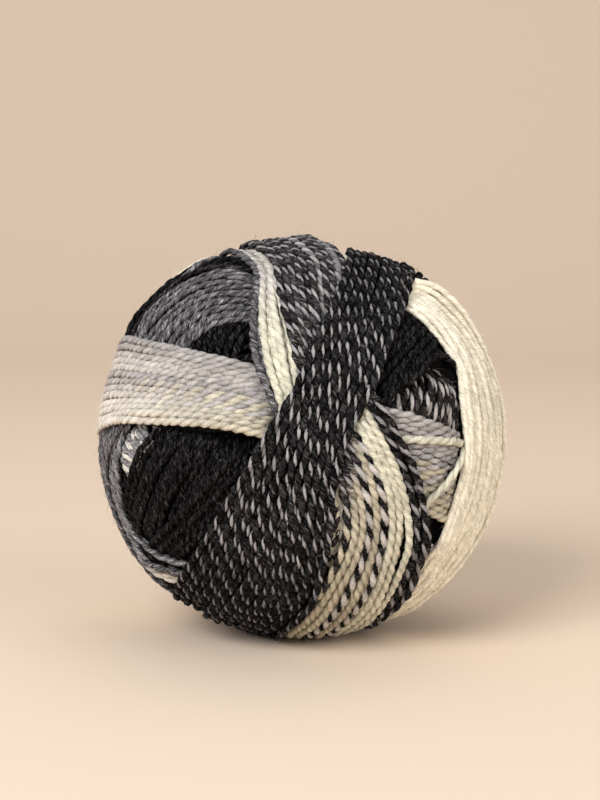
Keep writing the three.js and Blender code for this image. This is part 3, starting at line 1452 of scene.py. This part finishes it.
        # Painted shade: darker between the plies and down the yarn's sides, and weaker in light wool.
        valley = yarn.valley_shade + (1 - yarn.valley_shade) * (0.5 + 0.5 * np.cos(around))
        side = np.interp(depth, yarn.side_reach, (yarn.side_shade, 1))
        darkness = (1 - np.clip(colour.mean(axis=1), 0, 1)) ** yarn.dark_bias
        painted_shade = (valley[None] * side) ** darkness[:, None]
        fade = draws.uniform(1 - yarn.dye_stray, 1 + yarn.dye_stray)
        fade = np.maximum(fade + yarn.dye_stray * ripples(along, yarn.fades, draws), yarn.faintest)
        fade = fade ** (yarn.light_fade + (1 - yarn.light_fade) * darkness)
        return (colour * fade[:, None])[:, None] * painted_shade[..., None]

    def build(self) -> list[bpy.types.Object]:
        """Makes one piece for each wrap that shows.

        Returns:
            The pieces.
        """
        pieces = []
        for name, stretches in self.stretches.items():
            batch = TubeBatch(self.yarn.ring_sides)
            for stretch in stretches:
                self.spin(stretch, batch)
            pieces.append(batch.to_object(name))
            length = sum(stretch.length for stretch in stretches) * MM
            log.info("%s: %d stretches, %.2f m, %d triangles", name, len(stretches), length, batch.triangles)
        return pieces

    def build_inside(self) -> bpy.types.Object:
        """Makes the dark body of inner turns that shows deep between the outer ones.

        Returns:
            The piece.
        """
        bpy.ops.object.select_all(action="DESELECT")
        bpy.ops.mesh.primitive_ico_sphere_add(subdivisions=6, radius=1.0, location=(0, 0, 0))
        piece = bpy.context.object
        piece.name = piece.data.name = "inner_turns"
        points = np.empty(len(piece.data.vertices) * 3, np.float32)
        piece.data.vertices.foreach_get("co", points)
        directions = points.reshape(-1, 3).astype(float)
        surface = self.terrain.core_radius + self.terrain.read(directions)
        places = directions * (surface - self.depth_inside * self.yarn.radius)[:, None] + self.centre
        places[:, 2] = np.maximum(places[:, 2], self.floor_gap * self.yarn.radius)
        piece.data.vertices.foreach_set("co", (places * MM).astype(np.float32).ravel())
        piece.data.update()
        bpy.ops.object.shade_smooth()
        return piece


@dataclass
class LooseFibres:
    """The fibres that stand off the yarn, as thin three-sided hairs. Lengths are millimetres.

    A fibre leaves the yarn up to tilt radians to each side, rooted at root of its radius. It heads outward
    by a part in lift and along the yarn by a part in trail, strays by stray and curls by curl.
    """

    ball: YarnBall
    count: int = 10500
    seed: int = 5
    shortest: float = 0.7
    longest: float = 2.3
    radius: float = 0.016
    sides: int = 3
    tilt: float = 1.2
    root: float = 0.8
    lift: tuple[float, float] = (0.25, 0.9)
    trail: tuple[float, float] = (0.3, 1.0)
    stray: float = 0.25
    curl: float = 0.42
    brightness: tuple[float, float] = (0.9, 1.3)

    def build(self) -> bpy.types.Object:
        """Makes the fibres as one piece.

        Returns:
            The piece.
        """
        draws = np.random.default_rng(self.seed)
        stretches = [stretch for group in self.ball.stretches.values() for stretch in group]
        lengths = np.array([stretch.length for stretch in stretches])
        batch = TubeBatch(self.sides, row_length=60.0)
        picked = draws.choice(len(stretches), self.count, p=lengths / lengths.sum())
        for number in np.sort(picked):
            self.add_fibre(stretches[number], draws, batch)
        log.info("loose_fibres: %d triangles", batch.triangles)
        return batch.to_object("loose_fibres")

    def add_fibre(self, stretch: Stretch, draws: np.random.Generator, batch: TubeBatch) -> None:
        """Adds one fibre that leaves the yarn at a random place and curls as it goes.

        Args:
            stretch: The stretch that it leaves.
            draws: Where the random numbers come from.
            batch: The tubes that it is added to.
        """
        spot = draws.integers(1, len(stretch.along) - 1)
        forward = unit(stretch.places[spot + 1] - stretch.places[spot - 1])
        outward = unit(stretch.outward[spot])
        tilt = draws.uniform(-self.tilt, self.tilt)
        away = math.cos(tilt) * outward + math.sin(tilt) * np.cross(forward, outward)
        length = self.shortest + (self.longest - self.shortest) * draws.random() ** 2
        heading = away * draws.uniform(*self.lift)
        heading += forward * draws.choice((-1, 1)) * draws.uniform(*self.trail)
        heading = unit(heading + draws.normal(0, self.stray, 3))
        curl = draws.normal(0, self.curl, 3)
        share = np.linspace(0, 1, 5)[:, None]
        root = stretch.places[spot] + away * self.ball.yarn.radius * self.root
        line = root + (heading * share + curl * share**2) * length
        line[:, 2] = np.maximum(line[:, 2], self.radius)
        run = unit(np.gradient(line, axis=0)[1:4])
        side = unit(np.cross(run, outward + 0.01))
        around = np.arange(self.sides) * (2 * math.pi / self.sides)
        rings = line[1:4, None] + circles(around, side, np.cross(run, side)) * self.radius
        dye = stretch.turn.wrap.dyes_of(stretch.turn.number)[int(stretch.lateness[spot] > 0.5)]
        shade = dye.first if draws.random() < 0.5 else dye.second
        colour = np.broadcast_to(shade.rgb * draws.uniform(*self.brightness) + 0.01, rings.shape)
        fibre = np.broadcast_to(draws.uniform(0, 40, 3), rings.shape)
        batch.add(rings * MM, line[[0, 4]] * MM, colour, fibre, share[1:4, 0] * length)


# ---------------- studio


@dataclass(frozen=True)
class Softbox:
    """A square soft light: where it hangs from the middle of the ball, its size in metres and its watts."""

    name: str
    place: tuple[float, float, float]
    size: float
    power: float
    tint: str


@dataclass
class Studio:
    """The floor, lights and camera round the ball. Lengths are metres.

    The ball is ball_share of the camera frame's height across, and lies ball_drop of it below the middle.
    """

    ball_radius: float
    ball_centre: Vector
    distance: float = 0.5
    elevation: float = 8.0
    ball_share: float = 0.5125
    ball_drop: float = 0.046
    sensor: float = 36.0
    floor_size: float = 5.0
    wall_distance: float = 1.3
    wall_height: float = 2.0
    sweep_radius: float = 0.7
    air_tint: str = "#f6f5f3"
    air_strength: float = 0.4
    lights: tuple[Softbox, ...] = (
        Softbox("key_window", (-0.6, -1.0, 0.72), 0.7, 17.0, "#ffffff"),
        Softbox("fill_wall", (0.9, -0.75, 0.45), 1.0, 6.5, "#fffdf9"),
        Softbox("top_soft", (0.0, 0.25, 1.0), 0.9, 1.9, "#fffffd"),
    )

    def build(self) -> None:
        """Sets everything up."""
        bpy.context.scene.view_settings.view_transform = "Standard"
        self.add_floor()
        self.add_camera()
        for light in self.lights:
            self.add_light(light)
        world = bpy.data.worlds.new("studio_air")
        world.use_nodes = True
        background = world.node_tree.nodes["Background"]
        background.inputs["Color"].default_value = linear(self.air_tint)
        background.inputs["Strength"].default_value = self.air_strength
        bpy.context.scene.world = world

    def add_floor(self) -> None:
        """Adds the pale floor, which sweeps up behind the ball."""
        bpy.ops.object.select_all(action="DESELECT")
        middle = self.wall_distance - self.floor_size / 2
        bpy.ops.mesh.primitive_plane_add(size=self.floor_size, location=(0, middle, 0))
        floor = bpy.context.object
        floor.name = floor.data.name = "floor"
        bpy.ops.object.transform_apply(location=True)
        bpy.ops.object.mode_set(mode="EDIT")
        bpy.ops.mesh.select_all(action="DESELECT")
        bpy.ops.object.mode_set(mode="OBJECT")
        for edge in floor.data.edges:
            edge.select = all(floor.data.vertices[v].co.y > middle for v in edge.vertices)
        bpy.ops.object.mode_set(mode="EDIT")
        bpy.ops.mesh.select_mode(type="EDGE")
        bpy.ops.mesh.extrude_region_move(TRANSFORM_OT_translate={"value": (0, 0, self.wall_height)})
        bpy.ops.object.mode_set(mode="OBJECT")
        sweep = floor.modifiers.new("sweep", "BEVEL")
        sweep.width = self.sweep_radius
        sweep.segments = 24
        bpy.ops.object.modifier_apply(modifier=sweep.name)
        bpy.ops.object.shade_smooth()
        floor.data.materials.append(BackdropPaper().material())

    def add_camera(self) -> None:
        """Adds the camera, slightly above the ball and facing its crossing wraps."""
        camera = bpy.data.objects.new("camera", bpy.data.cameras.new("camera"))
        half_angle = math.asin(self.ball_radius / self.distance)
        camera.data.sensor_width = self.sensor
        camera.data.lens = self.ball_share * self.sensor / 2 / math.tan(half_angle)
        camera.data.clip_start = 0.01
        tilt = math.radians(self.elevation)
        away = Vector((0, -math.cos(tilt), math.sin(tilt)))
        upward = Vector((0, math.sin(tilt), math.cos(tilt)))
        lift = self.ball_drop * self.sensor / camera.data.lens * self.distance
        camera.location = self.ball_centre + away * self.distance
        aim = upward * lift - away * self.distance
        camera.rotation_euler = aim.to_track_quat("-Z", "Y").to_euler()
        bpy.context.scene.collection.objects.link(camera)
        bpy.context.scene.camera = camera

    def add_light(self, softbox: Softbox) -> None:
        """Adds a soft area light that faces the ball.

        Args:
            softbox: The light.
        """
        light = bpy.data.lights.new(softbox.name, "AREA")
        light.size = softbox.size
        light.energy = softbox.power
        light.color = linear(softbox.tint)[:3]
        lamp = bpy.data.objects.new(softbox.name, light)
        lamp.location = self.ball_centre + Vector(softbox.place)
        lamp.rotation_euler = (-Vector(softbox.place)).to_track_quat("-Z", "Y").to_euler()
        bpy.context.scene.collection.objects.link(lamp)


# ---------------- main


def ball_in(box: tuple[tuple[float, ...], tuple[float, ...]]) -> tuple[float, Array]:
    """The radius and the middle of the ball that fills the CAD box, in millimetres.

    Args:
        box: The lowest and highest corner, in metres.

    Returns:
        The radius and the middle.
    """
    low, high = np.array(box[0]) / MM, np.array(box[1]) / MM
    width, depth, _ = high - low
    radius = (width + depth) / 4
    return radius, np.array([(low[0] + high[0]) / 2, (low[1] + high[1]) / 2, high[2] - radius])


def main() -> None:
    """Builds the ball and the studio."""
    logging.basicConfig(level=logging.INFO, format="%(name)s: %(message)s")
    radius, centre = ball_in(CAD_BOX)
    ball = YarnBall(Yarn(), radius, centre)
    ball.wind()
    wool = SpunWool().material()
    pieces = ball.build()
    pieces.append(LooseFibres(ball).build())
    for piece in pieces:
        piece.data.materials.append(wool)
    inside = ball.build_inside()
    inside.data.materials.append(InnerWool().material())
    pieces.append(inside)
    for piece in pieces:
        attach(piece, BODY)
        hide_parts(CAD_NODE)
    Studio(radius * MM, Vector(centre * MM)).build()


if __name__ == "__main__":
    main()
